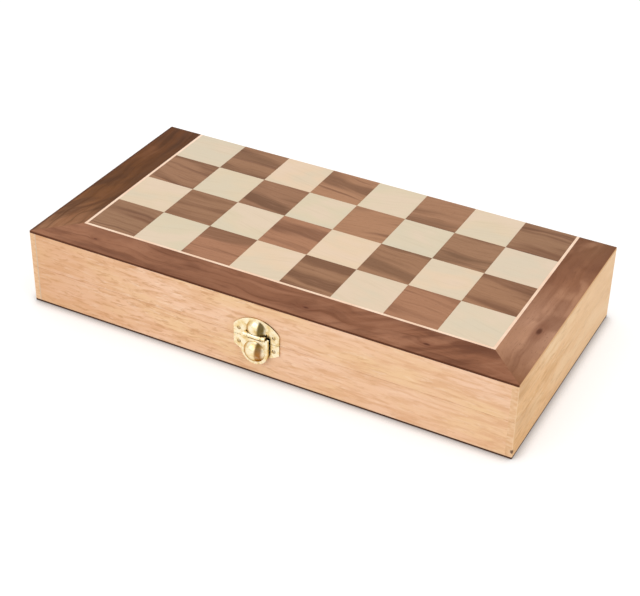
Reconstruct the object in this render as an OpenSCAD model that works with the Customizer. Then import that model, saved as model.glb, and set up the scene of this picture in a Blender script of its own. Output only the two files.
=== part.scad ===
// Chess box that unfolds into a board: two shallow trays of light wood, hinged along one
// long side, each with half of the chequered board on its outer face.
// Millimetres, +Z up, the box closed. The origin is the middle of the underside, the clasp
// is on the -Y side and the hinges are on the +Y side.

/* [Board facing] */
// Side of one square of the board
square_size = 40; // [36:0.5:44]
// Width of the light stringing between the squares and the border
stringing_w = 2; // [1:0.1:3]
// Width of the dark border
border_w = 28.5; // [24:0.5:34]
// Thickness of the squares, stringing and border
facing_t = 1.6; // [1.2:0.1:2]
// Joint between neighbouring squares
tile_gap = 0.06; // [0.04:0.01:0.1]
// Rounding of the border's outer edge
facing_round = 0.6; // [0.3:0.1:0.9]

/* [Case] */
// Height of the closed box
box_h = 60; // [58:0.5:66]
// Gap between the two rims when the box is closed
rim_gap = 0.2; // [0.1:0.05:0.3]
// Thickness of the four walls of each half
wall_t = 7; // [6.8:0.1:8]
// End grain of an end wall that shows on the front and back
end_grain_w = 5; // [4:0.1:5.5]
// Thickness of the plywood panel in each half
panel_t = 4; // [3:0.1:5]
// Width of the rabbet that holds the panel
panel_lap = 3; // [2:0.1:4]
// Rounding of the case's upright corners
corner_r = 1; // [0.6:0.1:2]
// Thickness of the felt in the lid
felt_t = 1; // [0.6:0.1:1.5]
// Gap round the felt and the tray
lining_gap = 0.4; // [0.3:0.1:1]

/* [Storage tray] */
// Height of the tray
tray_h = 22; // [20:0.5:23]
// Floor under the channels
tray_floor = 3; // [2:0.5:4]
// Width of a channel
channel_w = 27; // [26.5:0.5:30]
// Rounding at a channel's bottom corners
channel_round = 3; // [1:0.5:4]
// Rounding at the mouth of a channel
mouth_round = 1.5; // [0.5:0.5:2]

/* [Chessmen] */
// Height of a king
king_h = 83; // [78:0.5:88]
// Diameter of a king's foot
king_d = 25; // [23:0.5:26]
// Height of a queen
queen_h = 76; // [70:0.5:80]
// Diameter of a queen's foot
queen_d = 25; // [23:0.5:26]
// Height of a bishop
bishop_h = 64; // [60:0.5:65]
// Diameter of a bishop's foot
bishop_d = 23; // [21:0.5:25]
// Height of a knight
knight_h = 54.5; // [50:0.5:56]
// Diameter of a knight's foot
knight_d = 22.5; // [20:0.5:24]
// Thickness of a knight's head
knight_t = 11; // [9:0.5:12]
// Height of a rook
rook_h = 50; // [46:0.5:51]
// Diameter of a rook's foot
rook_d = 24; // [22:0.5:25]
// Height of a pawn
pawn_h = 41.5; // [38:0.5:42]
// Diameter of a pawn's foot
pawn_d = 20; // [18:0.5:22]
// Gap between a man and the tray under it
man_clear = 0.2; // [0.1:0.05:0.4]

/* [Hinges] */
// Length of each hinge
hinge_len = 30; // [24:1:40]
// Distance between the middles of the two hinges
hinge_spread = 230; // [180:5:280]
// Thickness of a hinge leaf
leaf_t = 1; // [0.8:0.1:1.2]
// Width of a hinge leaf on the rim
leaf_w = 6; // [5.5:0.1:6.2]
// Outer radius of a hinge knuckle
knuckle_r = 2.1; // [1.9:0.1:2.4]
// Radius of a hinge pin
hinge_pin_r = 1; // [0.8:0.1:1.2]
// Distance of the hinge axis behind the back face
axis_out = 0.3; // [0.2:0.05:0.6]
// Gap between neighbouring knuckles
knuckle_gap = 0.2; // [0.1:0.05:0.4]
// Radius of a hinge screw's head
screw_head_r = 1.7; // [1.5:0.1:1.8]
// Radius of a hinge screw's shank
screw_r = 1; // [0.8:0.1:1.2]
// Length of a hinge screw
screw_len = 10; // [8:0.5:12]
// Distance between the two screws of a leaf
screw_spread = 18; // [16:0.5:20]

/* [Clasp] */
// Width of the two clasp plates
plate_w = 36; // [32:0.5:38]
// Height of the straight ends of the clasp plates
plate_side = 8; // [7:0.5:10]
// Height of the lower clasp plate
lower_plate_h = 14; // [13.5:0.5:17]
// Height of the upper clasp plate
upper_plate_h = 17; // [16:0.5:17]
// Thickness of the clasp plates
plate_t = 1; // [0.8:0.1:1.2]
// Radius of the raised boss on the upper plate
boss_r = 7.8; // [7:0.1:8.5]
// Height of the boss above its plate
boss_rise = 4; // [3:0.1:4.2]
// How far the knob stands out from the case
knob_out = 7.2; // [6.6:0.1:7.4]
// Radius of the knob's ball
knob_r = 3; // [2.6:0.1:3.2]
// Radius of the knob's neck
neck_r = 1.8; // [1.6:0.1:2.2]
// Radius of the knob's shoulder on the plate
shoulder_r = 3.6; // [3:0.1:4.2]
// Distance of the knob below the seam
knob_drop = 8; // [7.5:0.1:8.5]
// Width of the hasp
hasp_w = 21; // [20:0.5:24]
// Reach of the hasp below its pivot
hasp_reach = 22.5; // [21.5:0.1:24]
// Width of the flat rim round the hasp's dome
hasp_band = 2.2; // [1.8:0.1:2.4]
// Thickness of the hasp's flat rim
hasp_t = 1.6; // [1.2:0.1:2]
// Height of the hasp's dome above its rim
dome_rise = 5; // [4.6:0.1:5.6]
// Thickness of the dome's shell
dome_t = 1; // [0.8:0.1:1.2]
// Height of the hasp's pivot above the seam
pivot_rise = 4; // [3.5:0.1:5]
// Outer radius of the clasp's knuckles
clasp_knuckle_r = 1.9; // [1.6:0.1:2]
// Radius of the clasp's pin
clasp_pin_r = 0.8; // [0.6:0.1:0.9]
// Width of the knuckle on the upper plate
clasp_knuckle_w = 10; // [8:0.5:11]
// Radius of a clasp nail's head
nail_head_r = 1.5; // [1.2:0.1:1.6]
// Radius of a clasp nail's shank
nail_r = 0.6; // [0.5:0.05:0.8]
// Length of a clasp nail under its head
nail_len = 6; // [4.5:0.5:6.5]

/* [Hidden] */
$fn = 48;

// Colours of the finished pieces
beech = [0.86, 0.70, 0.52];
walnut = [0.40, 0.24, 0.16];
maple = [0.90, 0.85, 0.72];
birch = [0.84, 0.74, 0.58];
white_wood = [0.92, 0.86, 0.70];
red_wood = [0.38, 0.17, 0.10];
brass = [0.85, 0.68, 0.35];
green_felt = [0.12, 0.30, 0.18];

// Carving of a knight's head; the ear's radius is a share of the foot's
ear_r = 0.4;
eye_r = 1.8;
carve_w = 1;
carve_depth = 0.6;

// Counts of the board
columns = 8;
half_rows = 4;

// Outer sizes of the case
box_l = columns * square_size + 2 * (stringing_w + border_w);
box_w = half_rows * square_size + stringing_w + border_w;
rim_z = (box_h - rim_gap) / 2;
seam_z = box_h / 2;
half_l = box_l / 2;
half_w = box_w / 2;
front_y = -half_w;
back_y = half_w;

// Inside of the case
inner_l = box_l - 2 * wall_t;
inner_w = box_w - 2 * wall_t;
floor_z = facing_t + panel_t;
panel_l = inner_l + 2 * panel_lap;
panel_w = inner_w + 2 * panel_lap;

// Field of squares on the outer face, from the stringing to the hinge edge
field_x = -columns * square_size / 2;
field_y = front_y + border_w + stringing_w;

// Small clearances that several pieces share
drill_clear = 0.05;
recess_clear = 0.1;
turn_clear = 0.3;
overcut = 1;

// Hinges
axis_y = back_y + axis_out;
knuckle_len = (hinge_len - 2 * knuckle_gap) / 3;
screw_y = (back_y - leaf_w + axis_y - knuckle_r - turn_clear) / 2;
head_depth = screw_head_r - screw_r;
slot_w = 0.5;
slot_depth = 0.4;

// Clasp
pivot_y = front_y - plate_t - clasp_knuckle_r - turn_clear;
ear_end = hasp_w / 2 - hasp_band;
hasp_gap = clasp_knuckle_w / 2 + turn_clear;
nail_x = plate_w / 2 - 4.2;
nail_rise = 5.5;
nail_dome = 0.7;
shoulder_t = 0.7;
boss_rim = 1.4;
tenon_r = 1.5;
tenon_len = 4;

// Steps of the curves on the turned men
bead_steps = 6;
flute_steps = 5;

// Men of one army in the tray's channels, from the front to the hinge side
CHANNELS = [
    ["king", "bishop"],
    ["queen", "bishop"],
    ["knight", "knight", "pawn"],
    ["rook", "rook", "pawn"],
    ["pawn", "pawn", "pawn"],
    ["pawn", "pawn", "pawn"]
];
channel_count = 2 * len(CHANNELS);
channel_pitch = inner_l / channel_count;
lip_round = min(mouth_round, 0.45 * (channel_pitch - channel_w));

// Sums the first n values of a list
function sum_to(v, n) = n <= 0 ? 0 : v[n - 1] + sum_to(v, n - 1);

// Puts a piece modelled on the base's half onto the lid
module on_lid() {
    translate([0, 0, box_h]) mirror([0, 0, 1]) children();
}

// Outline of the case seen from above, with small round corners
module case_outline() {
    square([box_l - 2 * corner_r, box_w], center = true);
    square([box_l, box_w - 2 * corner_r], center = true);
    for (sx = [-1, 1], sy = [-1, 1])
        translate([sx * (half_l - corner_r), sy * (half_w - corner_r)]) circle(corner_r);
}

// Border and stringing

// Cross-section of a border strip: u runs inward from the case's edge, v up from the face
module strip_section() {
    translate([facing_round, 0]) square([border_w - facing_round, facing_t]);
    translate([0, facing_round]) square([border_w, facing_t - facing_round]);
    translate([facing_round, facing_round]) circle(facing_round);
}

// A strip along X with its outer edge at y = 0 and the face down
module border_strip(len) {
    translate([-len / 2, 0, 0]) rotate([90, 0, 90]) linear_extrude(len) strip_section();
}

module border_front() {
    intersection() {
        translate([0, front_y, 0]) border_strip(box_l);
        linear_extrude(facing_t) intersection() {
            case_outline();
            polygon([
                [-half_l, front_y], [half_l, front_y],
                [half_l - border_w, front_y + border_w], [border_w - half_l, front_y + border_w]
            ]);
        }
    }
}

module border_left() {
    intersection() {
        translate([-half_l, 0, 0]) rotate([0, 0, -90]) border_strip(box_w);
        linear_extrude(facing_t) intersection() {
            case_outline();
            polygon([
                [-half_l, front_y], [border_w - half_l, front_y + border_w],
                [border_w - half_l, back_y], [-half_l, back_y]
            ]);
        }
    }
}

module stringing() {
    outer = columns * square_size + 2 * stringing_w;
    difference() {
        translate([-outer / 2, field_y - stringing_w, 0])
            cube([outer, back_y - field_y + stringing_w, facing_t]);
        translate([field_x, field_y, -overcut])
            cube([columns * square_size, back_y - field_y + overcut, facing_t + 2 * overcut]);
    }
}

// Every second square of a half; shade is 0 or 1
module squares(shade) {
    side = square_size - tile_gap;
    for (i = [0:columns - 1], j = [0:half_rows - 1])
        if ((i + j) % 2 == shade)
            translate([
                field_x + i * square_size + tile_gap / 2,
                field_y + j * square_size + tile_gap / 2, 0
            ]) cube([side, side, facing_t]);
}

// Walls and panel

module panel() {
    translate([-panel_l / 2, -panel_w / 2, facing_t]) cube([panel_l, panel_w, panel_t]);
}

// All four walls as one frame, before they are cut at the corner joints
module wall_frame() {
    difference() {
        translate([0, 0, facing_t]) linear_extrude(rim_z - facing_t) case_outline();
        translate([-inner_l / 2, -inner_w / 2, 0]) cube([inner_l, inner_w, box_h]);
        panel();
    }
}

// Space of an end wall: full depth, with a lap for each long wall
module end_wall_space() {
    difference() {
        translate([-half_l, front_y, 0]) cube([wall_t, box_w, box_h]);
        for (y = [front_y - overcut, back_y - wall_t])
            translate([end_grain_w - half_l, y, -overcut])
                cube([wall_t, wall_t + overcut, box_h + 2 * overcut]);
    }
}

module left_wall() {
    intersection() {
        wall_frame();
        end_wall_space();
    }
}

// A long wall between the end walls, with its outer face at y
module long_wall(y) {
    intersection() {
        wall_frame();
        translate([end_grain_w - half_l, y, 0]) cube([box_l - 2 * end_grain_w, wall_t, box_h]);
    }
}

// Hinges

module hinge_places() {
    for (side = [-1, 1]) translate([side * hinge_spread / 2, 0, 0]) children();
}

// Round bar along X on the hinge axis
module axis_bar(r, from, to) {
    translate([from, axis_y, seam_z]) rotate([0, 90, 0]) cylinder(r = r, h = to - from);
}

// First or second half of the knuckle positions: the base has the outer two, the lid the middle
module knuckle_bars(r, outer, grow) {
    step = knuckle_len + knuckle_gap;
    for (k = outer ? [-1, 1] : [0])
        axis_bar(r, k * step - knuckle_len / 2 - grow, k * step + knuckle_len / 2 + grow);
}

// Leaf with the knuckles of the base or of the lid, modelled on the base
module hinge_leaf(outer) {
    difference() {
        union() {
            translate([-hinge_len / 2, back_y - leaf_w, rim_z - leaf_t])
                cube([hinge_len, leaf_w + axis_out, leaf_t]);
            knuckle_bars(knuckle_r, outer, 0);
        }
        knuckle_bars(knuckle_r + turn_clear, !outer, knuckle_gap);
        axis_bar(hinge_pin_r + drill_clear, -hinge_len, hinge_len);
        leaf_screw_places() screw_space();
    }
}

module leaf_screw_places() {
    for (side = [-1, 1]) translate([side * screw_spread / 2, screw_y, rim_z]) children();
}

// Countersunk screw with its head flush with z = 0
module screw(clear) {
    translate([0, 0, -head_depth])
        cylinder(r1 = screw_r + clear, r2 = screw_head_r + clear, h = head_depth);
    translate([0, 0, -screw_len - clear]) cylinder(r = screw_r + clear, h = screw_len + clear);
}

module screw_space() {
    screw(drill_clear);
    cylinder(r = screw_head_r + drill_clear, h = overcut);
}

module screw_with_slot() {
    difference() {
        screw(0);
        translate([-screw_head_r, -slot_w / 2, -slot_depth])
            cube([2 * screw_head_r, slot_w, overcut]);
    }
}

// Everything a hinge needs cut out of a back wall
module hinge_cuts() {
    hinge_places() {
        translate([-hinge_len / 2 - recess_clear, back_y - leaf_w - recess_clear, rim_z - leaf_t])
            cube([hinge_len + 2 * recess_clear, leaf_w + overcut, leaf_t + overcut]);
        axis_bar(knuckle_r + turn_clear, -hinge_len / 2 - turn_clear, hinge_len / 2 + turn_clear);
        leaf_screw_places() screw_space();
    }
}

module back_wall() {
    difference() {
        long_wall(back_y - wall_t);
        hinge_cuts();
    }
}

// Clasp

// Looks along +Y at the case's front: x across, y up from the seam, z out from the case
module on_front() {
    translate([0, front_y, seam_z]) rotate([90, 0, 0]) children();
}

// Radius of the arc or ball that has this half width where it is this high
function bow_r(half, rise) = (half * half + rise * rise) / (2 * rise);

// Arch on straight ends, with its straight edge on the seam
module arch(w, h) {
    r = bow_r(w / 2, h - plate_side);
    intersection() {
        translate([0, h - r]) circle(r, $fn = 96);
        translate([-w / 2, 0]) square([w, h]);
    }
}

// Cap of a ball on the plane z = 0
module cap(half, rise) {
    r = bow_r(half, rise);
    intersection() {
        translate([0, 0, rise - r]) sphere(r);
        translate([-half, -half, 0]) cube([2 * half, 2 * half, rise]);
    }
}

module nail_places() {
    for (side = [-1, 1]) translate([side * nail_x, nail_rise, plate_t]) children();
}

// Round-headed nail standing on z = 0
module nail() {
    dome_r = (nail_head_r * nail_head_r + nail_dome * nail_dome) / (2 * nail_dome);
    intersection() {
        translate([0, 0, nail_dome - dome_r]) sphere(dome_r);
        cylinder(r = nail_head_r, h = nail_dome);
    }
    translate([0, 0, -nail_len]) cylinder(r = nail_r, h = nail_len);
}

module nail_holes() {
    nail_places() translate([0, 0, -nail_len - drill_clear])
        cylinder(r = nail_r + drill_clear, h = nail_len + overcut);
}

module tenon_hole() {
    translate([0, knob_drop, -tenon_len - drill_clear])
        cylinder(r = tenon_r + drill_clear, h = tenon_len + plate_t + overcut);
}

// Holes for the clasp in a front wall
module base_front() {
    difference() {
        long_wall(front_y);
        mirror_to_seam() {
            nail_holes();
            tenon_hole();
        }
    }
}

module lid_front() {
    difference() {
        long_wall(front_y);
        mirror_to_seam() nail_holes();
    }
}

// The base's half hangs below the seam, so its clasp pieces are the arch turned over
module mirror_to_seam() {
    on_front() mirror([0, 1, 0]) children();
}

module lower_plate() {
    difference() {
        linear_extrude(plate_t) difference() {
            arch(plate_w, lower_plate_h);
            translate([-plate_w, -overcut]) square([2 * plate_w, overcut + rim_gap / 2]);
        }
        nail_holes();
        tenon_hole();
    }
}

module knob() {
    translate([0, knob_drop, 0]) {
        translate([0, 0, -tenon_len]) cylinder(r = tenon_r, h = tenon_len + plate_t);
        translate([0, 0, plate_t]) cylinder(r = shoulder_r, h = shoulder_t);
        translate([0, 0, plate_t]) cylinder(r = neck_r, h = knob_out - knob_r - plate_t);
        translate([0, 0, knob_out - knob_r]) sphere(knob_r);
    }
}

// Round bar along X on the hasp's pivot, in the clasp's own frame
module pivot_bar(r, from, to) {
    translate([from, pivot_rise, front_y - pivot_y]) rotate([0, 90, 0])
        cylinder(r = r, h = to - from);
}

module upper_plate() {
    knuckle = clasp_knuckle_w / 2;
    knuckle_top = pivot_rise + clasp_knuckle_r + turn_clear;
    difference() {
        union() {
            linear_extrude(plate_t) difference() {
                arch(plate_w, upper_plate_h);
                translate([-plate_w, -overcut]) square([2 * plate_w, overcut + rim_gap / 2]);
            }
            intersection() {
                translate([0, upper_plate_h - boss_rim - boss_r, plate_t]) cap(boss_r, boss_rise);
                translate([-plate_w, knuckle_top, 0]) cube([2 * plate_w, plate_w, plate_w]);
            }
            pivot_bar(clasp_knuckle_r, -knuckle, knuckle);
            translate([-knuckle, pivot_rise, plate_t / 2])
                cube([clasp_knuckle_w, clasp_knuckle_r, front_y - pivot_y - plate_t / 2]);
        }
        pivot_bar(clasp_pin_r + drill_clear, -plate_w, plate_w);
        nail_holes();
    }
}

// Rim of the hasp, as a flat shape that hangs from the pivot at the origin and ends there
module hasp_outline() {
    half = hasp_w / 2;
    translate([-half, half - hasp_reach]) square([hasp_w, hasp_reach - half]);
    intersection() {
        translate([0, half - hasp_reach]) circle(half, $fn = 96);
        translate([-half, -hasp_reach]) square([hasp_w, hasp_reach]);
    }
}

// Hollow domed hasp that snaps over the knob
module hasp() {
    dome_half = hasp_w / 2 - hasp_band;
    ball_r = bow_r(dome_half, dome_rise);
    back_z = front_y - pivot_y - hasp_t / 2;
    rim_top = back_z + hasp_t;
    dome_y = pivot_rise - hasp_reach + hasp_w / 2;
    notch = clasp_knuckle_r + turn_clear;
    difference() {
        union() {
            translate([0, pivot_rise, back_z]) linear_extrude(hasp_t) difference() {
                hasp_outline();
                translate([-hasp_gap, -notch]) square([2 * hasp_gap, notch + overcut]);
            }
            translate([0, dome_y, rim_top]) cap(dome_half, dome_rise);
            for (side = [-1, 1])
                pivot_bar(clasp_knuckle_r, side > 0 ? hasp_gap : -ear_end, side > 0 ? ear_end : -hasp_gap);
        }
        translate([0, dome_y, rim_top + dome_rise - ball_r]) sphere(ball_r - dome_t);
        pivot_bar(clasp_pin_r + drill_clear, -plate_w, plate_w);
    }
}

// Storage tray

module channel_section() {
    depth = tray_h - tray_floor;
    half = channel_w / 2;
    translate([-half, channel_round]) square([channel_w, depth - channel_round + overcut]);
    translate([channel_round - half, 0]) square([channel_w - 2 * channel_round, depth]);
    for (side = [-1, 1]) {
        translate([side * (half - channel_round), channel_round]) circle(channel_round);
        difference() {
            translate([side * (half + lip_round / 2), depth])
                square([lip_round, 2 * lip_round], center = true);
            translate([side * (half + lip_round), depth - lip_round]) circle(lip_round);
        }
    }
}

module storage_tray_block() {
    l = inner_l - 2 * lining_gap;
    w = inner_w - 2 * lining_gap;
    translate([0, w / 2, floor_z]) rotate([90, 0, 0]) linear_extrude(w) difference() {
        translate([-l / 2, 0]) square([l, tray_h]);
        for (c = [0:channel_count - 1])
            translate([channel_x(c), tray_floor]) channel_section();
    }
}

function channel_x(c) = (c - (channel_count - 1) / 2) * channel_pitch;

// Chessmen

// Convex ring between two heights
function bead(z0, z1, r, bulge) = [
    for (i = [0:bead_steps]) let (a = 180 * i / bead_steps - 90)
        [r - bulge + bulge * cos(a), (z0 + z1) / 2 + (z1 - z0) / 2 * sin(a)]
];

// Taper between two radii that is drawn in by sag, or swells where sag is negative
function flute(z0, r0, z1, r1, sag) = [
    for (i = [0:flute_steps]) let (t = i / flute_steps)
        [r0 + (r1 - r0) * t - sag * sin(180 * t), z0 + (z1 - z0) * t]
];

// Part of a ball from its underside at angle a0 to angle a1
function ball(zc, r, a0, a1) = [
    for (i = [0:2 * bead_steps]) let (a = a0 + (a1 - a0) * i / (2 * bead_steps))
        [max(r * cos(a), 0), zc + r * sin(a)]
];

// Foot that all the men share: a base ring, a groove and a second ring
function foot(h, r) = concat(
    bead(0, 0.4 * r, r, 0.1 * r),
    bead(0.45 * r, 0.9 * r, r, 0.2 * r)
);

module turned(h, points) {
    rotate_extrude() polygon(concat([[0, 0]], points, [[0, h]]));
}

module pawn(h, r) {
    turned(h, concat(
        foot(h, r),
        flute(0.95 * r, 0.86 * r, 0.36 * h, 0.72 * r, 0),
        flute(0.37 * h, 0.66 * r, 0.56 * h, 0.4 * r, 0.04 * r),
        bead(0.58 * h, 0.69 * h, 0.74 * r, 0.25 * r),
        ball(h - 0.68 * r, 0.68 * r, -55, 90)
    ));
}

module rook(h, r) {
    top_r = 0.76 * r;
    cup = 0.5 * r;
    difference() {
        turned(h, concat(
            foot(h, r),
            flute(0.95 * r, 0.84 * r, 0.34 * h, 0.72 * r, 0),
            flute(0.35 * h, 0.64 * r, 0.63 * h, 0.48 * r, 0.03 * r),
            flute(0.64 * h, 0.52 * r, 0.7 * h, top_r, 0),
            bead(0.7 * h, 0.77 * h, top_r, 0.08 * r),
            [[top_r, 0.79 * h], [top_r, h]]
        ));
        translate([0, 0, 0.93 * h]) cylinder(r = cup, h = h);
        for (a = [0, 90]) rotate([0, 0, a + 45])
            translate([-h, -0.12 * r, 0.93 * h]) cube([2 * h, 0.24 * r, h]);
    }
}

module bishop(h, r) {
    difference() {
        turned(h, concat(
            foot(h, r),
            flute(0.95 * r, 0.8 * r, 0.3 * h, 0.66 * r, 0),
            flute(0.31 * h, 0.58 * r, 0.42 * h, 0.38 * r, 0.03 * r),
            bead(0.43 * h, 0.48 * h, 0.76 * r, 0.15 * r),
            bead(0.5 * h, 0.56 * h, 0.78 * r, 0.15 * r),
            flute(0.58 * h, 0.66 * r, 0.87 * h, 0.3 * r, -0.2 * r),
            ball(h - 0.46 * r, 0.5 * r, -50, 66)
        ));
        translate([0.2 * r, 0, 0.72 * h]) rotate([0, -35, 0])
            translate([0, -r, 0]) cube([r, 2 * r, 0.08 * r]);
    }
}

// Body that king and queen share, up to the rim of the crown
function royal(h, r) = concat(
    foot(h, r),
    flute(0.95 * r, 0.88 * r, 0.25 * h, 0.72 * r, 0),
    flute(0.26 * h, 0.64 * r, 0.46 * h, 0.46 * r, 0.02 * r),
    bead(0.47 * h, 0.52 * h, 0.84 * r, 0.2 * r),
    bead(0.535 * h, 0.59 * h, 0.66 * r, 0.12 * r),
    flute(0.6 * h, 0.54 * r, 0.8 * h, 0.84 * r, 0.05 * r)
);

module queen(h, r) {
    turned(h, concat(
        royal(h, r),
        flute(0.82 * h, 0.82 * r, 0.885 * h, 0.4 * r, -0.04 * r),
        ball(h - 0.42 * r, 0.43 * r, -50, 78)
    ));
}

module king(h, r) {
    turned(h, concat(
        royal(h, r),
        flute(0.81 * h, 0.82 * r, 0.865 * h, 0.46 * r, -0.04 * r),
        [[0.46 * r, 0.877 * h], [0.68 * r, 0.915 * h], [0.68 * r, 0.95 * h]],
        [[0.6 * r, 0.99 * h], [0.55 * r, h]]
    ));
}

// Side view of a knight's neck and head: x to the front, y up
module knight_side(h, r) {
    polygon([
        [-0.6 * r, 0.3 * h], [0.64 * r, 0.3 * h], [0.78 * r, 0.35 * h], [0.95 * r, 0.44 * h],
        [0.64 * r, 0.62 * h], [-0.18 * r, 0.645 * h], [0.88 * r, 0.665 * h], [r, 0.7 * h],
        [0.98 * r, 0.89 * h], [-0.1 * r, 0.925 * h], [-0.45 * r, 0.95 * h], [-0.82 * r, 0.92 * h],
        [-0.96 * r, 0.87 * h], [-0.96 * r, 0.43 * h], [-0.8 * r, 0.36 * h]
    ]);
    translate([-0.45 * r, h - ear_r * r]) circle(ear_r * r);
}

// The block seen from above: full thickness in the middle, thinner at mane, chest and muzzle
module knight_plan(r) {
    t = knight_t / 2;
    polygon([
        [-r, -0.5 * t], [-0.78 * r, -t], [0.34 * r, -t], [r, -0.55 * t],
        [r, 0.55 * t], [0.34 * r, t], [-0.78 * r, t], [-r, 0.5 * t]
    ]);
}

// V groove along the face of the block between two points of the side view
module carved_line(from, to) {
    run = to - from;
    translate([from[0], 0, from[1]]) rotate([0, -atan2(run[1], run[0]), 0]) rotate([45, 0, 0])
        translate([0, -carve_w / 2, -carve_w / 2]) cube([norm(run), carve_w, carve_w]);
}

// Knight: a carved block on a turned foot
module knight(h, r) {
    turned(0.31 * h, concat(
        foot(h, r),
        flute(0.95 * r, 0.8 * r, 0.3 * h, 0.6 * r, 0)
    ));
    difference() {
        intersection() {
            rotate([90, 0, 0]) translate([0, 0, -knight_t / 2]) linear_extrude(knight_t)
                knight_side(h, r);
            linear_extrude(h) knight_plan(r);
            cylinder(r = r, h = h);
        }
        for (side = [-1, 1]) translate([0, side * knight_t / 2, 0]) {
            translate([-0.33 * r, 0, 0.76 * h]) rotate([90, 0, 0]) difference() {
                cylinder(r = eye_r, h = 2 * carve_depth, center = true);
                cylinder(r = eye_r - carve_w, h = 2 * overcut, center = true);
            }
            carved_line([-0.7 * r, 0.62 * h], [-0.46 * r, 0.38 * h]);
            carved_line([-0.2 * r, 0.62 * h], [-0.4 * r, 0.38 * h]);
        }
    }
}

function man_h(kind) =
    kind == "king" ? king_h : kind == "queen" ? queen_h : kind == "bishop" ? bishop_h :
    kind == "knight" ? knight_h : kind == "rook" ? rook_h : pawn_h;

function man_r(kind) = (
    kind == "king" ? king_d : kind == "queen" ? queen_d : kind == "bishop" ? bishop_d :
    kind == "knight" ? knight_d : kind == "rook" ? rook_d : pawn_d) / 2;

// Where the upper part of a lying man touches down: its height on the man and its radius
function touch_h(kind) = man_h(kind) * (
    kind == "bishop" ? 0.66 : kind == "pawn" ? 0.85 : kind == "rook" || kind == "knight" ? 1 : 0.8);
function touch_r(kind) =
    kind == "knight" ? knight_t / 2 : man_r(kind) * (
    kind == "bishop" ? 0.76 : kind == "pawn" ? 0.68 : kind == "rook" ? 0.76 : 0.84);

// A man that lies on a flat floor rests on its foot and on its upper part
function foot_rise(kind) = 0.7 * man_r(kind);
function tilt(kind) = atan((man_r(kind) - touch_r(kind)) / (touch_h(kind) - foot_rise(kind)));
function lying_lift(kind) = man_r(kind) * cos(tilt(kind)) + foot_rise(kind) * sin(tilt(kind));
function lying_len(kind) = man_h(kind) * cos(tilt(kind)) + 2 * man_r(kind) * sin(tilt(kind));

module standing_man(kind) {
    h = man_h(kind);
    r = man_r(kind);
    if (kind == "king") king(h, r);
    if (kind == "queen") queen(h, r);
    if (kind == "bishop") bishop(h, r);
    if (kind == "knight") knight(h, r);
    if (kind == "rook") rook(h, r);
    if (kind == "pawn") pawn(h, r);
}

// All the men of one kind of one army, lying in the channels with their heads to the hinges
module men(kind, dark) {
    z = floor_z + tray_floor + man_clear + lying_lift(kind);
    for (c = [0:len(CHANNELS) - 1]) {
        row = CHANNELS[c];
        lengths = [for (k = row) lying_len(k)];
        spare = (inner_w - sum_to(lengths, len(row))) / (len(row) + 1);
        x = dark ? channel_x(channel_count - 1 - c) : channel_x(c);
        for (m = [0:len(row) - 1])
            if (row[m] == kind)
                translate([
                    x,
                    spare * (m + 1) + sum_to(lengths, m) + man_r(kind) * sin(tilt(kind)) - inner_w / 2,
                    z
                ]) rotate([-90 - tilt(kind), 0, 0]) standing_man(kind);
    }
}

// Nodes

module base_front_wall() { color(beech) base_front(); }
module base_back_wall() { color(beech) back_wall(); }
module base_left_wall() { color(beech) left_wall(); }
module base_right_wall() { color(beech) mirror([1, 0, 0]) left_wall(); }
module base_panel() { color(birch) panel(); }
module base_border_front() { color(walnut) border_front(); }
module base_border_left() { color(walnut) border_left(); }
module base_border_right() { color(walnut) mirror([1, 0, 0]) border_left(); }
module base_stringing() { color(maple) stringing(); }
module base_light_squares() { color(maple) squares(0); }
module base_dark_squares() { color(walnut) squares(1); }
module storage_tray() { color(green_felt) storage_tray_block(); }

module white_king() { color(white_wood) men("king", false); }
module white_queen() { color(white_wood) men("queen", false); }
module white_bishops() { color(white_wood) men("bishop", false); }
module white_knights() { color(white_wood) men("knight", false); }
module white_rooks() { color(white_wood) men("rook", false); }
module white_pawns() { color(white_wood) men("pawn", false); }
module dark_king() { color(red_wood) men("king", true); }
module dark_queen() { color(red_wood) men("queen", true); }
module dark_bishops() { color(red_wood) men("bishop", true); }
module dark_knights() { color(red_wood) men("knight", true); }
module dark_rooks() { color(red_wood) men("rook", true); }
module dark_pawns() { color(red_wood) men("pawn", true); }

module clasp_lower_plate() { color(brass) mirror_to_seam() lower_plate(); }
module clasp_knob() { color(brass) mirror_to_seam() knob(); }
module clasp_lower_nails() { color(brass) mirror_to_seam() nail_places() nail(); }
module left_hinge_lower_leaf() {
    color(brass) translate([-hinge_spread / 2, 0, 0]) hinge_leaf(true);
}
module right_hinge_lower_leaf() {
    color(brass) translate([hinge_spread / 2, 0, 0]) hinge_leaf(true);
}
module hinge_lower_screws() {
    color(brass) hinge_places() leaf_screw_places() screw_with_slot();
}
module hinge_pins() {
    color(brass) hinge_places() axis_bar(hinge_pin_r, -hinge_len / 2, hinge_len / 2);
}

module lid_front_wall() { color(beech) on_lid() lid_front(); }
module lid_back_wall() { color(beech) on_lid() back_wall(); }
module lid_left_wall() { color(beech) on_lid() left_wall(); }
module lid_right_wall() { color(beech) on_lid() mirror([1, 0, 0]) left_wall(); }
module lid_panel() { color(birch) on_lid() panel(); }
module lid_border_front() { color(walnut) on_lid() border_front(); }
module lid_border_left() { color(walnut) on_lid() border_left(); }
module lid_border_right() { color(walnut) on_lid() mirror([1, 0, 0]) border_left(); }
module lid_stringing() { color(maple) on_lid() stringing(); }
module lid_light_squares() { color(maple) on_lid() squares(1); }
module lid_dark_squares() { color(walnut) on_lid() squares(0); }
module lid_felt() {
    l = inner_l - 2 * lining_gap;
    w = inner_w - 2 * lining_gap;
    color(green_felt) on_lid() translate([-l / 2, -w / 2, floor_z]) cube([l, w, felt_t]);
}

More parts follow.
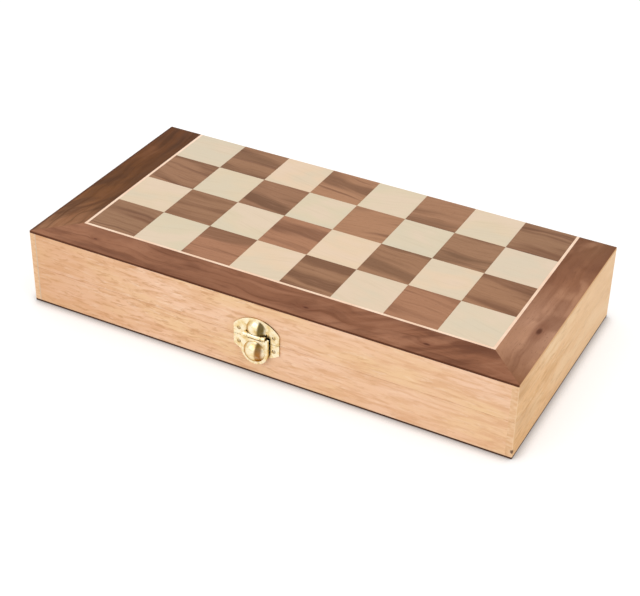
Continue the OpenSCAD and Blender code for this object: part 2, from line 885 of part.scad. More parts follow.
module clasp_upper_plate() { color(brass) on_front() upper_plate(); }
module clasp_upper_nails() { color(brass) on_front() nail_places() nail(); }
module clasp_pin() { color(brass) on_front() pivot_bar(clasp_pin_r, -ear_end, ear_end); }
module left_hinge_upper_leaf() {
    color(brass) on_lid() translate([-hinge_spread / 2, 0, 0]) hinge_leaf(false);
}
module right_hinge_upper_leaf() {
    color(brass) on_lid() translate([hinge_spread / 2, 0, 0]) hinge_leaf(false);
}
module hinge_upper_screws() {
    color(brass) on_lid() hinge_places() leaf_screw_places() screw_with_slot();
}
module clasp_hasp() { color(brass) on_front() hasp(); }

base_front_wall();
base_back_wall();
base_left_wall();
base_right_wall();
base_panel();
base_border_front();
base_border_left();
base_border_right();
base_stringing();
base_light_squares();
base_dark_squares();
storage_tray();
white_king();
white_queen();
white_bishops();
white_knights();
white_rooks();
white_pawns();
dark_king();
dark_queen();
dark_bishops();
dark_knights();
dark_rooks();
dark_pawns();
clasp_lower_plate();
clasp_knob();
clasp_lower_nails();
left_hinge_lower_leaf();
right_hinge_lower_leaf();
hinge_lower_screws();
hinge_pins();
lid_front_wall();
lid_back_wall();
lid_left_wall();
lid_right_wall();
lid_panel();
lid_border_front();
lid_border_left();
lid_border_right();
lid_stringing();
lid_light_squares();
lid_dark_squares();
lid_felt();
clasp_upper_plate();
clasp_upper_nails();
clasp_pin();
left_hinge_upper_leaf();
right_hinge_upper_leaf();
hinge_upper_screws();
clasp_hasp();
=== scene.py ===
"""Looks of the folding chess box: procedural woods, brass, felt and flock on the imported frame."""

import math

import bmesh
import bpy
from mathutils import Matrix, Vector

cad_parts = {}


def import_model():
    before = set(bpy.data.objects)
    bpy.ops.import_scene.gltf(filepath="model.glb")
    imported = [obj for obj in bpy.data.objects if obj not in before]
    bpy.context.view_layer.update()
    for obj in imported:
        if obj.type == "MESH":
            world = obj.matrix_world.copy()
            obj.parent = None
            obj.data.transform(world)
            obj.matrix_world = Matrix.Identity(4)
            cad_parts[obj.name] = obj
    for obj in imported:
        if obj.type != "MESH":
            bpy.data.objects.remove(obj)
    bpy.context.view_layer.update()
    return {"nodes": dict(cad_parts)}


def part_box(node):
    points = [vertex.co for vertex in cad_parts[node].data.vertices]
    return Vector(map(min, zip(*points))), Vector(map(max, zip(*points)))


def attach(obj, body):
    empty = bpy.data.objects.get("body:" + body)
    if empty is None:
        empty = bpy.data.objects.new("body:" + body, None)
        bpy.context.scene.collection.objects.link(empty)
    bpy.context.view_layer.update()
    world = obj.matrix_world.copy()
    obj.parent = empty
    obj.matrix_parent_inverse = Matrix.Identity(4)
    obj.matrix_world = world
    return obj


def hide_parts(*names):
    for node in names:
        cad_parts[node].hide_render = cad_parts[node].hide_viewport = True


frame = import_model()

# Sizes of the case in metres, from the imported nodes
HALF_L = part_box("lid_border_right")[1].x
HALF_W = -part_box("lid_border_front")[0].y
RIM_Z = (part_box("base_front_wall")[1].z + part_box("lid_front_wall")[0].z) / 2
# End grain of the side walls that shows at the front's corners
LAP = HALF_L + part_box("base_front_wall")[0].x
# The squares' field lies inside the stringing
STRINGING = 0.002
FIELD_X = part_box("lid_stringing")[0].x + STRINGING
FIELD_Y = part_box("lid_stringing")[0].y + STRINGING
SQUARE = -FIELD_X / 4
# Pitch of the tray's channels, six on each side of the middle
LANE = -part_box("base_left_wall")[1].x / 6


def srgb(r, g, b):
    """An sRGB colour of 0 to 255 as the linear colour that Blender's sockets take."""
    def linear(c):
        c /= 255
        return c / 12.92 if c <= 0.04045 else ((c + 0.055) / 1.055) ** 2.4
    return (linear(r), linear(g), linear(b), 1.0)


# Calls that build node trees

class Nodes:
    """A node tree, with short calls that add nodes and return their outputs."""

    def __init__(self, tree):
        self.tree = tree

    def node(self, kind, **settings):
        node = self.tree.nodes.new(kind)
        for key, value in settings.items():
            setattr(node, key, value)
        return node

    def put(self, socket, value):
        """Links a socket where the value is another socket, and else sets its own value."""
        if isinstance(value, bpy.types.NodeSocket):
            self.tree.links.new(value, socket)
        else:
            socket.default_value = value

    def fill(self, node, *values):
        """Puts values on a node's first inputs, in order, and returns its outputs."""
        for socket, value in zip(node.inputs, values):
            self.put(socket, value)
        return node.outputs

    def math(self, operation, *values):
        return self.fill(self.node("ShaderNodeMath", operation=operation), *values)[0]

    def absolute(self, value):
        return self.math("ABSOLUTE", value)

    def vector(self, operation, a, b):
        return self.fill(self.node("ShaderNodeVectorMath", operation=operation), a, b)["Vector"]

    def distance(self, a, b):
        return self.fill(self.node("ShaderNodeVectorMath", operation="DISTANCE"), a, b)["Value"]

    def split(self, vector):
        return self.fill(self.node("ShaderNodeSeparateXYZ"), vector)

    def join(self, x, y, z):
        return self.fill(self.node("ShaderNodeCombineXYZ"), x, y, z)[0]

    def noise(self, vector, detail=3, rough=0.5, warp=0.0):
        node = self.node("ShaderNodeTexNoise")
        self.put(node.inputs["Vector"], vector)
        node.inputs["Scale"].default_value = 1.0
        node.inputs["Detail"].default_value = detail
        node.inputs["Roughness"].default_value = rough
        node.inputs["Distortion"].default_value = warp
        return node.outputs["Fac"]

    def grain(self, uvw, along, across, depth=None, **settings):
        """Noise with so many cells a metre along the grain, across it and in depth."""
        cells = (along, across, across if depth is None else depth)
        stretched = [self.math("MULTIPLY", value, count) for value, count in zip(uvw, cells)]
        return self.noise(self.join(*stretched), **settings)

    def chance(self, key):
        """Three random values of 0 to 1 that belong to a key vector."""
        node = self.node("ShaderNodeTexWhiteNoise", noise_dimensions="3D")
        self.put(node.inputs["Vector"], key)
        return self.split(node.outputs["Color"])

    def spread(self, value, low, high, to_low=0.0, to_high=1.0):
        """A smooth step from to_low to to_high as the value goes from low to high."""
        node = self.node("ShaderNodeMapRange", interpolation_type="SMOOTHSTEP")
        return self.fill(node, value, low, high, to_low, to_high)[0]

    def ramp(self, value, *colours):
        """Evenly spaced colours over the values 0 to 1."""
        node = self.node("ShaderNodeValToRGB")
        self.put(node.inputs[0], value)
        elements = node.color_ramp.elements
        while len(elements) < len(colours):
            elements.new(0.5)
        for i, colour in enumerate(colours):
            elements[i].position = i / (len(colours) - 1)
            elements[i].color = colour
        return node.outputs[0]

    def mix(self, factor, a, b):
        node = self.node("ShaderNodeMix", data_type="RGBA")
        self.put(node.inputs["Factor"], factor)
        self.put(node.inputs["A"], a)
        self.put(node.inputs["B"], b)
        return node.outputs["Result"]

    def stain(self, colour, tone, pattern, low, high, amount=1.0):
        """The colour with a tone laid over it as a pattern goes from low to high."""
        return self.mix(self.spread(pattern, low, high, 0.0, amount), colour, tone)

    def openness(self, distance, **settings):
        """Ambient occlusion over a distance: 1 in the open, and less in hollows."""
        node = self.node("ShaderNodeAmbientOcclusion", samples=8, **settings)
        node.inputs["Distance"].default_value = distance
        return node.outputs["AO"]

    def seen_directly(self):
        """1 for camera, glossy and transmission rays, and 0 for the rest."""
        path = self.node("ShaderNodeLightPath")
        seen = self.math("MAXIMUM", path.outputs["Is Camera Ray"], path.outputs["Is Glossy Ray"])
        return self.math("MAXIMUM", seen, path.outputs["Is Transmission Ray"])


class Shader(Nodes):
    """A Principled material with its place in metres and its normal at hand."""

    def __init__(self, name):
        self.material = bpy.data.materials.new(name)
        self.material.use_nodes = True
        super().__init__(self.material.node_tree)
        self.bsdf = self.tree.nodes["Principled BSDF"]
        coordinates = self.node("ShaderNodeTexCoord")
        self.place = coordinates.outputs["Object"]
        self.normal = coordinates.outputs["Normal"]

    def set(self, **values):
        for key, value in values.items():
            self.put(self.bsdf.inputs[key.replace("_", " ")], value)

    def fibres(self, along, seed=(0, 0, 0), turn=None):
        """The place as u along the grain, and v and w across it; a seed picks the wood."""
        place = self.vector("ADD", self.place, seed)
        if turn is not None:
            node = self.node("ShaderNodeVectorRotate", rotation_type="Z_AXIS")
            self.put(node.inputs["Vector"], place)
            self.put(node.inputs["Angle"], turn)
            place = node.outputs[0]
        x, y, z = self.split(place)
        return (x, y, z) if along == "x" else (y, x, z)

    def speckle(self, *cells, **settings):
        """Noise with so many cells a metre along X, Y and Z, or one number for all three."""
        scale = cells if len(cells) == 3 else cells * 3
        return self.noise(self.vector("MULTIPLY", self.place, scale), **settings)

    def off_end(self):
        """Distance from the nearer short end of the case."""
        return self.math("SUBTRACT", HALF_L, self.absolute(self.split(self.place)[0]))

    def bump(self, height, distance, strength):
        node = self.node("ShaderNodeBump")
        self.put(node.inputs["Height"], height)
        node.inputs["Distance"].default_value = distance
        node.inputs["Strength"].default_value = strength
        self.put(self.bsdf.inputs["Normal"], node.outputs[0])


def somewhere(s, own, reach):
    """A seed up to a reach away in each direction, from three random values."""
    return s.join(*[s.math("MULTIPLY", value, reach) for value in own])


# Light wood of the case

def case_wood(name, along, tones, shade, dash, fleck, drift, mottle=None):
    """Oiled case wood: soft patches, streaks, short dashes and flecks along the grain.

    shade, dash and fleck are each a tone and its depth: a number, or a pair for the right and the
    left end of the case. drift is a tone that comes in along the wall, where it starts, where it
    is full and its depth. mottle is the tone of blotches near the front corner.
    """
    s = Shader(name)
    x, y = s.split(s.place)[:2]
    turning = 0.63 * HALF_L
    uvw = s.fibres(along, (0.3, 0.7, 0.2))
    patches = s.grain(uvw, 16, 48)
    streaks = s.grain(uvw, 30, 210, rough=0.6, warp=0.4)
    dashes = s.grain(uvw, 78, 400, rough=0.65, warp=0.5)
    flecks = s.grain(uvw, 95, 480, rough=0.65, warp=0.4)
    colour = s.ramp(s.spread(patches, 0.28, 0.72), *tones)
    figures = ((shade, streaks, 0.44, 0.66), (dash, dashes, 0.5, 0.66), (fleck, flecks, 0.54, 0.7))
    for (tone, depth), pattern, low, high in figures:
        if isinstance(depth, tuple):
            depth = s.spread(x, turning, -turning, *depth)
        colour = s.stain(colour, tone, pattern, low, high, depth)
    tone, start, full, depth = drift
    colour = s.stain(colour, tone, x if along == "x" else y, start, full, depth)
    if mottle:
        near = s.spread(y, -0.42 * HALF_W, -0.94 * HALF_W, 0.0, 0.6)
        colour = s.stain(colour, mottle, patches, 0.46, 0.62, near)
    colour = end_grain(s, colour, along, uvw)
    colour = corner_marks(s, colour)
    s.set(Base_Color=colour, Roughness=s.spread(streaks, 0.3, 0.7, 0.48, 0.6), Specular_IOR_Level=0.15)
    s.bump(s.math("ADD", streaks, s.math("MULTIPLY", dashes, 0.8)), 0.00008, 0.5)
    return s.material


def end_grain(s, colour, along, uvw):
    """End grain on the faces that cut across the fibres."""
    facing = s.split(s.normal)["xy".index(along)]
    rings = s.grain(uvw, 5, 160, 500, detail=2)
    end = s.mix(s.spread(rings, 0.3, 0.7), srgb(228, 180, 136), srgb(244, 206, 168))
    return s.stain(colour, end, s.absolute(facing), 0.7, 0.9, 0.8)


def corner_marks(s, colour):
    """A painted highlight on the rounded corners, the glue line of the left lap, and a dark chip low at
    the right.
    """
    lean = s.absolute(s.split(s.normal)[0])
    # Painted highlight: the rounded corner faces are made paler
    corner_highlight = s.math("MULTIPLY", s.spread(lean, 0.2, 0.6), s.spread(lean, 0.98, 0.85, 0.0, 0.4))
    colour = s.mix(corner_highlight, colour, srgb(254, 222, 184))
    off_joint = s.absolute(s.math("SUBTRACT", s.off_end(), LAP))
    left = s.math("LESS_THAN", s.split(s.place)[0], 0.0)
    colour = s.stain(colour, srgb(214, 192, 168), off_joint, 0.0007, 0.0002, s.math("MULTIPLY", left, 0.7))
    chip_z = 0.0062
    off_chip = s.distance(s.place, (HALF_L, -HALF_W, chip_z))
    ragged = s.math("ADD", off_chip, s.math("MULTIPLY", s.speckle(900), 0.0016))
    return s.stain(colour, srgb(70, 38, 18), ragged, 0.0030, 0.0018, 0.85)


# Woods of the playing field

def square_key(s):
    """Whole numbers that name the square under a point: column, row and half of the case."""
    x, y, z = s.split(s.place)
    column = s.math("FLOOR", s.math("DIVIDE", s.math("SUBTRACT", x, FIELD_X), SQUARE))
    row = s.math("FLOOR", s.math("DIVIDE", s.math("SUBTRACT", y, FIELD_Y), SQUARE))
    return s.join(column, row, s.math("GREATER_THAN", z, RIM_Z))


def dark_square(name):
    """Dark squares, each from its own piece: soft broad bands on a pinkish or olive brown."""
    s = Shader(name)
    key = square_key(s)
    wood = s.chance(key)
    kind = s.chance(s.vector("ADD", key, (35.7, 11.3, 21.1)))
    bold = s.chance(s.vector("ADD", key, (21.9, 27.1, 9.7)))
    turn = s.spread(kind[0], 0, 1, -0.14, 0.14)
    u, v, w = s.fibres("x", somewhere(s, wood, 9), turn)
    waves = s.grain((u, v, w), 22, 34, detail=2)
    bent = (u, s.math("ADD", v, s.math("MULTIPLY", waves, 0.012)), w)
    zones = s.grain(bent, 9, 62, detail=2)
    bands = s.grain(bent, 10, 150, detail=2)
    lines = s.grain(bent, 30, 620, rough=0.6)
    pores = s.grain((u, v, w), 260, 2400, detail=1)
    tone = s.mix(wood[0], srgb(168, 122, 90), srgb(186, 138, 104))
    tone = s.stain(tone, srgb(172, 121, 91), kind[1], 0.35, 1.0, 0.8)
    tone = s.stain(tone, srgb(146, 110, 82), kind[2], 0.5, 1.0, 0.75)
    dark = s.mix(bold[0], srgb(112, 80, 56), srgb(126, 82, 58))
    colour = s.stain(tone, dark, zones, 0.46, 0.64, s.spread(bold[1], 0.0, 1.0, 0.55, 0.95))
    colour = s.stain(colour, srgb(104, 66, 46), bands, 0.56, 0.7, s.spread(bold[2], 0.1, 0.8, 0.15, 0.6))
    colour = s.stain(colour, srgb(96, 62, 42), lines, 0.5, 0.74, 0.22)
    colour = s.stain(colour, srgb(200, 150, 118), lines, 0.46, 0.3, 0.14)
    colour = s.stain(colour, srgb(84, 52, 36), pores, 0.6, 0.78, 0.3)
    s.set(Base_Color=colour, Roughness=s.spread(lines, 0.3, 0.7, 0.46, 0.56), Specular_IOR_Level=0.1)
    s.bump(s.math("ADD", lines, pores), 0.00005, 0.5)
    return s.material


def light_square(name):
    """Light squares: nearly even cream with a peach, pink or grey-green tint of its own."""
    s = Shader(name)
    key = square_key(s)
    wood = s.chance(s.vector("ADD", key, (13.1, 23.9, 16.7)))
    kind = s.chance(s.vector("ADD", key, (14.3, 16.9, 45.1)))
    uvw = s.fibres("x", somewhere(s, wood, 9), s.spread(kind[0], 0, 1, -0.3, 0.3))
    clouds = s.grain(uvw, 24, 40, detail=2)
    lines = s.grain(uvw, 30, 600, rough=0.6)
    colour = s.mix(wood[1], srgb(222, 207, 178), srgb(234, 207, 176))
    colour = s.stain(colour, srgb(226, 204, 184), kind[1], 0.5, 1.0, 0.7)
    colour = s.stain(colour, srgb(220, 207, 184), kind[2], 0.6, 1.0, 0.6)
    colour = s.stain(colour, srgb(219, 207, 183), clouds, 0.52, 0.36, 0.5)
    colour = s.stain(colour, srgb(234, 209, 186), clouds, 0.48, 0.66, 0.5)
    colour = s.stain(colour, srgb(198, 176, 142), lines, 0.48, 0.74, 0.16)
    s.set(Base_Color=colour, Roughness=s.spread(lines, 0.3, 0.7, 0.46, 0.56), Specular_IOR_Level=0.1)
    s.bump(lines, 0.00003, 0.4)
    return s.material


def border_wood(name, along, tones, dark, pale, seed, edge, knots=(), figure=1.0,
                slant=0.0, reach=(0.45, 0.75), heart=0.0, rim=0.0):
    """Dark border strip: tones along its length, soft figure and lines, pores and small knots.

    figure is the strength of the arches and bands, slant the turn of a crossing figure that comes
    in over reach, heart the darkness of the strip's inner side, and rim that of its outer arris.
    Knots are given as x, y and radius.
    """
    s = Shader(name)
    x, y = s.split(s.place)[:2]
    run, half = (x, HALF_L) if along == "x" else (y, HALF_W)
    position = s.math("ADD", s.math("MULTIPLY", run, 0.5 / half), 0.5)
    u, v, w = s.fibres(along, seed)
    swell = s.grain((u, v, w), 18, 26, detail=2)
    v = s.math("ADD", v, s.math("MULTIPLY", swell, 0.02))
    pull, core, halo = knot_marks(s, along, knots)
    bent = (u, s.math("ADD", v, pull), w)
    arches = s.grain(bent, 7, 85)
    bands = s.grain(bent, 14, 300, detail=4, rough=0.6)
    pores = s.grain(bent, 200, 1900, detail=2, rough=0.6)
    clouds = s.grain(bent, 26, 44)
    colour = s.ramp(position, *tones)
    colour = s.stain(colour, dark, arches, 0.46, 0.68, 0.65 * figure)
    colour = s.stain(colour, pale, arches, 0.46, 0.3, 0.4 * figure)
    colour = s.stain(colour, pale, clouds, 0.52, 0.66, 0.45)
    colour = s.stain(colour, dark, clouds, 0.46, 0.34, 0.4)
    colour = s.stain(colour, dark, bands, 0.48, 0.7, 0.5 * figure)
    if slant:
        crossing = s.grain(s.fibres(along, seed, slant), 20, 130, warp=0.3)
        colour = s.stain(colour, dark, crossing, 0.5, 0.68, s.spread(position, *reach, 0.0, 0.6))
        colour = s.stain(colour, pale, crossing, 0.48, 0.32, s.spread(position, *reach, 0.0, 0.4))
    if heart:
        uneven = s.math("ADD", s.off_end(), s.math("MULTIPLY", clouds, 0.016))
        colour = s.stain(colour, dark, uneven, 0.022, 0.036, s.spread(position, 0.1, 0.35, 0.0, heart))
    colour = s.stain(colour, srgb(86, 50, 32), pores, 0.56, 0.74, 0.4)
    colour = s.mix(s.math("MULTIPLY", halo, 0.5), colour, srgb(120, 68, 44))
    colour = s.mix(s.math("MULTIPLY", core, 0.85), colour, srgb(82, 40, 22))
    if rim:
        colour = s.stain(colour, edge, s.off_end(), 0.0028, 0.0012, rim)
    # Side faces take the edge tone; on the lid's right strip that tone is a painted highlight
    upright = s.absolute(s.split(s.normal)[2])
    colour = s.stain(colour, edge, upright, 0.97, 0.7, 0.9)
    s.set(Base_Color=colour, Roughness=s.spread(bands, 0.3, 0.7, 0.46, 0.58), Specular_IOR_Level=0.1)
    s.bump(s.math("ADD", bands, pores), 0.00006, 0.5)
    return s.material


def knot_marks(s, along, knots):
    """How far the knots pull the grain aside, and their dark cores and paler halos."""
    slim = 0.45
    stretch = (slim, 1, 0) if along == "x" else (1, slim, 0)
    flat_place = s.vector("MULTIPLY", s.place, stretch)
    pull = core = halo = 0.0
    for x, y, radius in knots:
        off = s.distance(flat_place, (x * stretch[0], y * stretch[1], 0))
        pull = s.math("ADD", pull, s.spread(off, 4 * radius, 0.0, 0.0, 0.004))
        core = s.math("MAXIMUM", core, s.spread(off, radius, 0.3 * radius))
        halo = s.math("MAXIMUM", halo, s.spread(off, 3.2 * radius, 0.6 * radius))
    return pull, core, halo


def stringing_wood(name):
    """Pale peach line of wood round the field."""
    s = Shader(name)
    clouds = s.grain(s.fibres("x", (0.1, 0.4, 0.9)), 60, 60)
    colour = s.mix(s.spread(clouds, 0.3, 0.7), srgb(246, 208, 178), srgb(255, 226, 200))
    s.set(Base_Color=colour, Roughness=0.45, Specular_IOR_Level=0.2)
    s.bump(clouds, 0.00003, 0.4)
    return s.material


def plywood(name):
    """Birch face, and dark and light plies on the edges."""
    s = Shader(name)
    uvw = s.fibres("x", (0.6, 0.1, 0.5))
    streaks = s.grain(uvw, 20, 380, detail=4, rough=0.6)
    clouds = s.grain(uvw, 12, 26)
    colour = s.mix(s.spread(clouds, 0.3, 0.7), srgb(214, 190, 152), srgb(228, 206, 170))
    colour = s.stain(colour, srgb(190, 160, 120), streaks, 0.4, 0.7, 0.5)
    plies_a_metre = 750
    plies = s.math("PINGPONG", s.math("MULTIPLY", s.split(s.place)[2], plies_a_metre), 1.0)
    upright = s.absolute(s.split(s.normal)[2])
    colour = s.stain(colour, srgb(150, 112, 76), upright, 0.9, 0.5, plies)
    s.set(Base_Color=colour, Roughness=0.6, Specular_IOR_Level=0.3)
    s.bump(streaks, 0.00006, 0.5)
    return s.material


# Lacquered men

def turned_wood(name, pale, warm, line, coat, groove):
    """Turned wood of the men, which lie along Y: own grain in each lane, and own tone each."""
    s = Shader(name)
    x, y = s.split(s.place)[:2]
    lane = s.math("FLOOR", s.math("DIVIDE", x, LANE))
    wood = s.chance(s.join(lane, 0.0, 1.7))
    blank = s.grain((lane, y, 0.5), 7.3, 14, 1, detail=1)
    uvw = s.fibres("y", somewhere(s, wood, 3))
    rings = s.grain(uvw, 9, 130, detail=4, rough=0.55, warp=0.3)
    fibres = s.grain(uvw, 40, 900, rough=0.6)
    colour = s.mix(s.spread(rings, 0.32, 0.68), pale, warm)
    colour = s.stain(colour, warm, blank, 0.36, 0.64, 0.5)
    colour = s.stain(colour, line, fibres, 0.46, 0.7, 0.45)
    # Painted shade in the turned grooves, darker by occlusion, standing also for the lacquer that gathers
    # there
    colour = s.stain(colour, line, s.openness(0.003, only_local=True), 0.85, 0.35, groove)
    s.set(Base_Color=colour, Roughness=s.spread(fibres, 0.3, 0.7, 0.26, 0.36), Specular_IOR_Level=0.5)
    s.set(Coat_Weight=coat, Coat_Roughness=0.12)
    s.bump(fibres, 0.00004, 0.4)
    return s.material


# Brass and fabrics

def brass(name, deep=0.0, painted_dark_reflection=0.0):
    """Pressed brass: faint brushing, smears, and painted shade in the hollows that stands also for patina.

    deep darkens the whole of it, and the last setting paints a dark reflection down the right side of the
    domes.
    """
    s = Shader(name)
    smears = s.speckle(240)
    brushing = s.speckle(5200, 700, 700, detail=2)
    film = s.speckle(120, rough=0.55)
    colour = s.mix(s.spread(smears, 0.35, 0.7), srgb(247, 235, 204), srgb(233, 208, 152))
    colour = s.stain(colour, srgb(190, 152, 84), film, 0.54, 0.75, 0.5)
    if deep:
        colour = s.mix(deep, colour, srgb(128, 90, 36))
    # Painted shade: darker where occlusion closes in, partly patina in the hollows
    colour = s.stain(colour, srgb(84, 60, 20), s.openness(0.0020), 0.8, 0.35, 0.9)
    # Painted dark reflection down the right side of the domes, set by the normal's lean
    if painted_dark_reflection:
        lean = s.split(s.normal)[0]
        band = s.math("MULTIPLY", s.spread(lean, 0.16, 0.34), s.spread(lean, 0.86, 0.6))
        band = s.math("MULTIPLY", band, s.spread(film, 0.25, 0.5, 0.4 * painted_dark_reflection, painted_dark_reflection))
        height = s.spread(s.split(s.place)[2], RIM_Z - 0.010, RIM_Z + 0.002)
        colour = s.mix(band, colour, s.mix(height, srgb(150, 90, 24), srgb(84, 64, 4)))
    s.set(Base_Color=colour, Metallic=1.0, Specular_Tint=srgb(206, 172, 96))
    s.set(Roughness=s.spread(smears, 0.3, 0.7, 0.2, 0.36))
    s.bump(s.math("ADD", s.math("MULTIPLY", brushing, 0.4), smears), 0.00005, 0.4)
    return s.material


def cloth(name, pale, deep, pile, sheen):
    """Short green pile: felt or flock, with so many tufts a metre."""
    s = Shader(name)
    fuzz = s.speckle(pile, detail=4, rough=0.7)
    clouds = s.speckle(45)
    colour = s.mix(s.spread(fuzz, 0.3, 0.7), deep, pale)
    colour = s.stain(colour, deep, clouds, 0.35, 0.7, 0.35)
    s.set(Base_Color=colour, Roughness=0.95, Specular_IOR_Level=0.15)
    s.set(Sheen_Weight=sheen, Sheen_Roughness=0.5)
    s.bump(fuzz, 0.0003, 0.6)
    return s.material


# Materials on the CAD nodes

def dress(material, *names):
    for name in names:
        node = frame["nodes"][name]
        node.data.materials.clear()
        node.data.materials.append(material)


def dress_case():
    long_wood = case_wood(
        "case_wood_long", "x",
        tones=[srgb(248, 206, 174), srgb(244, 200, 162), srgb(244, 204, 158)],
        shade=(srgb(230, 180, 138), 0.8),
        dash=(srgb(208, 154, 108), (0.25, 0.7)),
        fleck=(srgb(255, 224, 196), (0.3, 0.55)),
        drift=(srgb(218, 162, 116), -0.32 * HALF_L, -HALF_L, 0.5))
    end_wood = case_wood(
        "case_wood_end", "y",
        tones=[srgb(222, 172, 116), srgb(236, 190, 138), srgb(240, 204, 158)],
        shade=(srgb(220, 170, 116), 0.4),
        dash=(srgb(188, 136, 84), 0.4),
        fleck=(srgb(248, 216, 174), 0.4),
        drift=(srgb(244, 208, 166), -0.84 * HALF_W, 0.73 * HALF_W, 0.6),
        mottle=srgb(204, 152, 98))
    for half in ("base", "lid"):
        dress(long_wood, f"{half}_front_wall", f"{half}_back_wall")
        dress(end_wood, f"{half}_left_wall", f"{half}_right_wall")
    dress(plywood("birch_plywood"), "lid_panel", "base_panel")


def dress_border(half, edge, right_edge):
    """The three strips of one half, with the colours of their edges."""
    front = border_wood(
        f"{half}_border_front_wood", "x",
        tones=[srgb(162, 110, 80), srgb(148, 98, 70), srgb(142, 92, 64), srgb(146, 94, 66)],
        dark=srgb(104, 60, 38), pale=srgb(174, 122, 92), seed=(0.4, 0.2, 0.1), edge=edge, slant=-0.6,
        knots=[(0.1205, -0.0830, 0.0016), (0.0317, -0.0842, 0.0013), (-0.142, -0.081, 0.0009)])
    right = border_wood(
        f"{half}_border_right_wood", "y",
        tones=[srgb(136, 88, 56), srgb(196, 148, 118), srgb(152, 102, 72), srgb(124, 82, 54)],
        dark=srgb(112, 66, 42), pale=srgb(194, 144, 110), seed=(0.9, 0.5, 0.3), edge=right_edge,
        figure=0.55, heart=0.35, knots=[(0.1795, -0.0330, 0.0026)])
    left = border_wood(
        f"{half}_border_left_wood", "y",
        tones=[srgb(176, 126, 92), srgb(122, 76, 38), srgb(110, 64, 24), srgb(106, 60, 24)],
        dark=srgb(76, 44, 20), pale=srgb(134, 84, 50), seed=(0.2, 0.8, 0.7), edge=edge,
        slant=0.5, reach=(0.9, 0.2), heart=0.45, rim=0.75)
    dress(front, f"{half}_border_front")
    dress(right, f"{half}_border_right")
    dress(left, f"{half}_border_left")


def dress_field():
    dress(stringing_wood("stringing"), "lid_stringing", "base_stringing")
    dress(dark_square("dark_squares"), "lid_dark_squares", "base_dark_squares")
    dress(light_square("light_squares"), "lid_light_squares", "base_light_squares")


def dress_men():
    white = turned_wood("white_men", pale=srgb(243, 230, 196), warm=srgb(234, 211, 166),
                        line=srgb(212, 182, 132), coat=0.4, groove=0.5)
    dark = turned_wood("dark_men", pale=srgb(150, 98, 62), warm=srgb(106, 68, 42),
                       line=srgb(50, 30, 20), coat=0.6, groove=0.9)
    for kind in ("king", "queen", "bishops", "knights", "rooks", "pawns"):
        dress(white, f"white_{kind}")
        dress(dark, f"dark_{kind}")


def dress_brass():
    dress(brass("clasp_brass", painted_dark_reflection=0.9),
          "clasp_lower_plate", "clasp_upper_plate", "clasp_knob", "clasp_hasp")
    dress(brass("nail_brass", deep=0.6), "clasp_lower_nails", "clasp_upper_nails", "clasp_pin")
    leaves = [f"{side}_hinge_{half}_leaf" for side in ("left", "right") for half in ("lower", "upper")]
    dress(brass("hinge_brass"), *leaves, "hinge_lower_screws", "hinge_upper_screws", "hinge_pins")


# Felt in the lid

def ripple(x, y):
    """Unevenness of the glued sheet in metres."""
    first = math.sin(170 * x + 2.1 * math.sin(90 * y))
    second = math.sin(140 * y + 1.3 * math.sin(60 * x))
    return 0.00006 * (1 + first * second)


def felt_mesh(name, low, high, columns=74, rows=36):
    """A thin closed slab whose lower face ripples and rounds off towards its cut edges."""
    rounding = 0.004
    length, width, thick = high - low
    mesh = bmesh.new()
    grid = {}
    for top in (0, 1):
        for i in range(columns + 1):
            for j in range(rows + 1):
                x = low.x + length * i / columns
                y = low.y + width * j / rows
                inside = min(x - low.x, high.x - x, y - low.y, high.y - y)
                edge = 0.35 * thick * max(0.0, 1 - inside / rounding) ** 2
                z = high.z if top else low.z + edge + ripple(x, y)
                grid[top, i, j] = mesh.verts.new((x, y, z))

    def face(flip, *keys):
        corners = [grid[key] for key in keys]
        mesh.faces.new(corners[::-1] if flip else corners)

    for i in range(columns):
        for j in range(rows):
            for top in (0, 1):
                face(not top, (top, i, j), (top, i + 1, j), (top, i + 1, j + 1), (top, i, j + 1))
    for i in range(columns):
        for j in (0, rows):
            face(j == rows, (0, i, j), (0, i + 1, j), (1, i + 1, j), (1, i, j))
    for j in range(rows):
        for i in (0, columns):
            face(i == 0, (0, i, j), (0, i, j + 1), (1, i, j + 1), (1, i, j))
    data = bpy.data.meshes.new(name)
    mesh.to_mesh(data)
    mesh.free()
    for polygon in data.polygons:
        polygon.use_smooth = True
    return data


def felt_sheet(name, node, material):
    """The glued sheet of felt in place of its plain node."""
    low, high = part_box(node)
    data = felt_mesh(name, low, high)
    data.materials.append(material)
    piece = bpy.data.objects.new(name, data)
    bpy.context.scene.collection.objects.link(piece)
    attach(piece, "lid")
    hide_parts(node)


# Floor, lights and camera

def floor_material(name):
    """White floor that keeps the case's shadow, with a painted contact shadow: a narrow warm dark line
    where they touch, from occlusion.
    """
    s = Shader(name)
    s.set(Base_Color=(0.86, 0.86, 0.86, 1), Roughness=1.0, Specular_IOR_Level=0.0)
    # Painted contact shadow: the floor darkens by occlusion near the case
    painted_contact_shadow = s.spread(s.openness(0.010), 0.3, 1.0, 0.35, 1.0)
    bright = s.node("ShaderNodeBsdfDiffuse")
    s.put(bright.inputs["Color"], s.mix(painted_contact_shadow, (0.10, 0.04, 0.01, 1), (0.7, 0.7, 0.7, 1)))
    glow = s.node("ShaderNodeEmission")
    s.put(glow.inputs["Color"], s.mix(painted_contact_shadow, (0.05, 0.02, 0.0, 1), (0.42, 0.42, 0.42, 1)))
    lit = s.fill(s.node("ShaderNodeAddShader"), bright.outputs[0], glow.outputs[0])[0]
    surface = s.fill(s.node("ShaderNodeMixShader"), s.seen_directly(), s.bsdf.outputs[0], lit)[0]
    s.put(s.tree.nodes["Material Output"].inputs["Surface"], surface)
    return s.material


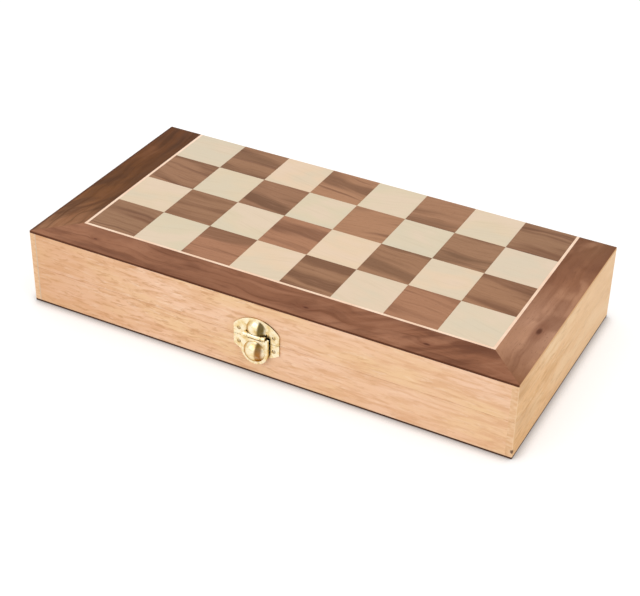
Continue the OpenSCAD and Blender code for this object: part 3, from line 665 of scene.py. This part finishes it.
def floor(reach=9.0, drop=0.0001):
    corners = [(-1, -1), (1, -1), (1, 1), (-1, 1)]
    mesh = bpy.data.meshes.new("floor")
    mesh.from_pydata([(reach * x, reach * y, -drop) for x, y in corners], [], [(0, 1, 2, 3)])
    mesh.materials.append(floor_material("floor_white"))
    plane = bpy.data.objects.new("floor", mesh)
    bpy.context.scene.collection.objects.link(plane)


def world(strength):
    """A white world that lights the object with the given strength."""
    sky = bpy.data.worlds.new("studio")
    bpy.context.scene.world = sky
    sky.use_nodes = True
    n = Nodes(sky.node_tree)
    background = n.tree.nodes["Background"]
    background.inputs["Color"].default_value = (1, 1, 1, 1)
    n.put(background.inputs["Strength"], n.spread(n.seen_directly(), 0.0, 1.0, strength, 1.0))


def lamp(name, place, size, power, aim=(0, 0, 0.03)):
    data = bpy.data.lights.new(name, "AREA")
    data.shape = "RECTANGLE"
    data.size, data.size_y = size
    data.energy = power
    piece = bpy.data.objects.new(name, data)
    piece.location = place
    piece.rotation_mode = "QUATERNION"
    piece.rotation_quaternion = (Vector(aim) - Vector(place)).to_track_quat("-Z", "Y")
    bpy.context.scene.collection.objects.link(piece)


def camera(azimuth, elevation, roll, distance, target, lens):
    """The photograph's view of the closed box: azimuth 0 looks along +Y."""
    a, e, r = (math.radians(angle) for angle in (azimuth, elevation, roll))
    back = Vector((math.sin(a) * math.cos(e), -math.cos(a) * math.cos(e), math.sin(e)))
    right = Vector((0, 0, 1)).cross(back).normalized()
    up = back.cross(right)
    x = math.cos(r) * right - math.sin(r) * up
    y = math.sin(r) * right + math.cos(r) * up
    data = bpy.data.cameras.new("camera")
    data.lens = lens
    data.sensor_width = 36
    piece = bpy.data.objects.new("camera", data)
    bpy.context.scene.collection.objects.link(piece)
    turn = Matrix((x, y, back)).transposed().to_4x4()
    piece.matrix_world = Matrix.Translation(Vector(target) + back * distance) @ turn
    bpy.context.scene.camera = piece


dress_case()
# The base's near-black edge tone is the walnut's dark edge together with painted shade along the floor
dress_border("base", edge=srgb(56, 30, 18), right_edge=srgb(56, 30, 18))
# The lid's right edge tone is a painted highlight: the right strip's outer side made pale as if lit
dress_border("lid", edge=srgb(84, 44, 24), right_edge=srgb(224, 178, 128))
dress_field()
dress_men()
dress_brass()
dress(cloth("flock", pale=srgb(58, 104, 74), deep=srgb(22, 58, 36), pile=2600, sheen=0.3), "storage_tray")
felt_sheet("lid_felt_sheet", "lid_felt",
           cloth("felt", pale=srgb(64, 112, 80), deep=srgb(26, 66, 42), pile=1500, sheen=0.25))

floor()
world(strength=0.72)
lamp("top", place=(-0.1, 0.2, 1.7), size=(1.8, 1.6), power=5.6)
lamp("front", place=(-0.6, -1.5, 0.9), size=(1.4, 1.0), power=6.2)
lamp("side", place=(1.6, -0.4, 0.9), size=(1.2, 1.0), power=4.6)
camera(azimuth=27.2, elevation=33.6, roll=-1.3, distance=1.122, target=(-0.0067, 0.0111, 0.0), lens=83.8)
bpy.context.scene.view_settings.view_transform = "Standard"
